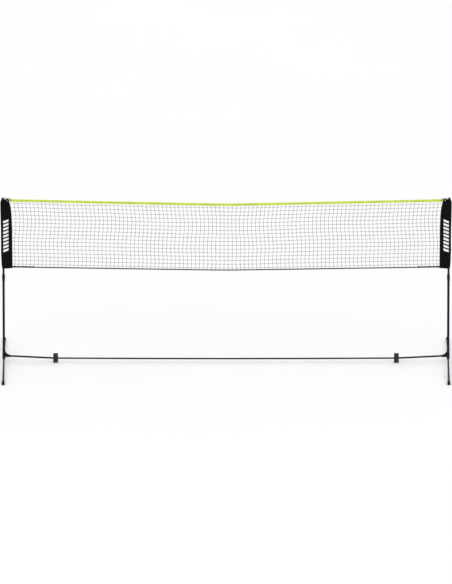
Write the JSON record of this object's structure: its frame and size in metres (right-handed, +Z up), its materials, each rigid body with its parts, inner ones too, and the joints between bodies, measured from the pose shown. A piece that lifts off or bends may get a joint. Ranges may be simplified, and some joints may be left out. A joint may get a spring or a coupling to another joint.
{
  "type": "portable badminton net",
  "caption": "Free-standing net on telescopic posts with twist locks, folding feet and a sectioned crossbar; black mesh, lime top tape and cloth pole sleeves.",
  "frame": {"origin": "on the floor, midway between the posts and below the net", "axes": "+X along the net towards the right-hand post, +Y across the net, +Z up"},
  "size_m": [4.044, 1.2012, 1.5749],
  "materials": {
    "painted_tube": "black powder coat, semi-gloss",
    "moulded_black": "black moulded nylon, fine texture",
    "moulded_grey": "dark grey moulded plastic, satin",
    "nylon": "natural nylon",
    "rubber": "black rubber, matt",
    "screw_steel": "black zinc plate",
    "ferrule_steel": "zinc plate",
    "eyelet_metal": "nickel plate",
    "elastic_cord": "braided elastic cord",
    "sleeve_cloth": "black woven polyester, light crease",
    "webbing": "light grey webbing",
    "lime_tape": "lime woven tape, folded and stitched",
    "mesh_twine": "knotted black twine",
    "black_cord": "braided black cord"
  },
  "bodies": {
    "base": {"left_hub": "moulded_black", "left_hub_screws": "screw_steel", "left_leg_pins": "screw_steel", "left_lower_post": "painted_tube", "left_arm_tube": "painted_tube", "left_coupler": "moulded_grey", "left_collar_body": "moulded_black", "left_collet": "nylon", "right_hub": "moulded_black", "right_hub_screws": "screw_steel", "right_leg_pins": "screw_steel", "right_lower_post": "painted_tube", "right_arm_tube": "painted_tube", "right_coupler": "moulded_grey", "right_collar_body": "moulded_black", "right_collet": "nylon", "crossbar_tube_1": "painted_tube", "crossbar_tube_2": "painted_tube", "crossbar_tube_3": "painted_tube", "crossbar_tube_4": "painted_tube", "crossbar_ferrules": "ferrule_steel", "crossbar_cord": "elastic_cord", "crossbar_anchors": "nylon"},
    "net": {"left_sleeve": "sleeve_cloth", "left_pocket_patch": "webbing", "left_eyelets": "eyelet_metal", "left_tape_ties": "black_cord", "right_sleeve": "sleeve_cloth", "right_pocket_patch": "webbing", "right_eyelets": "eyelet_metal", "right_tape_ties": "black_cord", "top_tape": "lime_tape", "top_rope": "black_cord", "net_panel": "mesh_twine", "bottom_cord": "black_cord"},
    "left_lock_nut": {"left_lock_nut": "moulded_black"},
    "left_upper_post": {"left_upper_post": "painted_tube", "left_post_cap": "moulded_black", "left_glide_bush": "nylon"},
    "right_lock_nut": {"right_lock_nut": "moulded_black"},
    "right_upper_post": {"right_upper_post": "painted_tube", "right_post_cap": "moulded_black", "right_glide_bush": "nylon"},
    "left_front_leg": {"left_front_leg_tube": "painted_tube", "left_front_leg_knuckle": "moulded_black", "left_front_leg_cap": "rubber"},
    "left_rear_leg": {"left_rear_leg_tube": "painted_tube", "left_rear_leg_knuckle": "moulded_black", "left_rear_leg_cap": "rubber"},
    "right_front_leg": {"right_front_leg_tube": "painted_tube", "right_front_leg_knuckle": "moulded_black", "right_front_leg_cap": "rubber"},
    "right_rear_leg": {"right_rear_leg_tube": "painted_tube", "right_rear_leg_knuckle": "moulded_black", "right_rear_leg_cap": "rubber"}
  },
  "joints": [
    {"name": "left_post_slide", "type": "slide", "parent": "base", "child": "left_upper_post", "axis": [0, 0, 1], "range_m": [-0.67, 0]},
    {"name": "left_lock_turn", "type": "hinge", "parent": "base", "child": "left_lock_nut", "pos_m": [-2, 0, 0.827], "axis": [0, 0, 1], "range_deg": [0, 120]},
    {"name": "right_post_slide", "type": "slide", "parent": "base", "child": "right_upper_post", "axis": [0, 0, 1], "range_m": [-0.67, 0]},
    {"name": "right_lock_turn", "type": "hinge", "parent": "base", "child": "right_lock_nut", "pos_m": [2, 0, 0.827], "axis": [0, 0, 1], "range_deg": [0, 120]},
    {"name": "left_front_leg_fold", "type": "hinge", "parent": "base", "child": "left_front_leg", "pos_m": [-2, -0.024, 0.056], "axis": [0, 0, 1], "range_deg": [0, 90]},
    {"name": "left_rear_leg_fold", "type": "hinge", "parent": "base", "child": "left_rear_leg", "pos_m": [-2, 0.024, 0.056], "axis": [0, 0, -1], "range_deg": [0, 90]},
    {"name": "right_front_leg_fold", "type": "hinge", "parent": "base", "child": "right_front_leg", "pos_m": [2, -0.024, 0.056], "axis": [0, 0, -1], "range_deg": [0, 90]},
    {"name": "right_rear_leg_fold", "type": "hinge", "parent": "base", "child": "right_rear_leg", "pos_m": [2, 0.024, 0.056], "axis": [0, 0, 1], "range_deg": [0, 90]},
    {"name": "net_lift", "type": "slide", "parent": "left_upper_post", "child": "net", "axis": [0, 0, 1], "range_m": [0, 0.7]}
  ],
  "couplings": [
    {"joint": "right_post_slide", "follows": "left_post_slide", "ratio": 1}
  ]
}
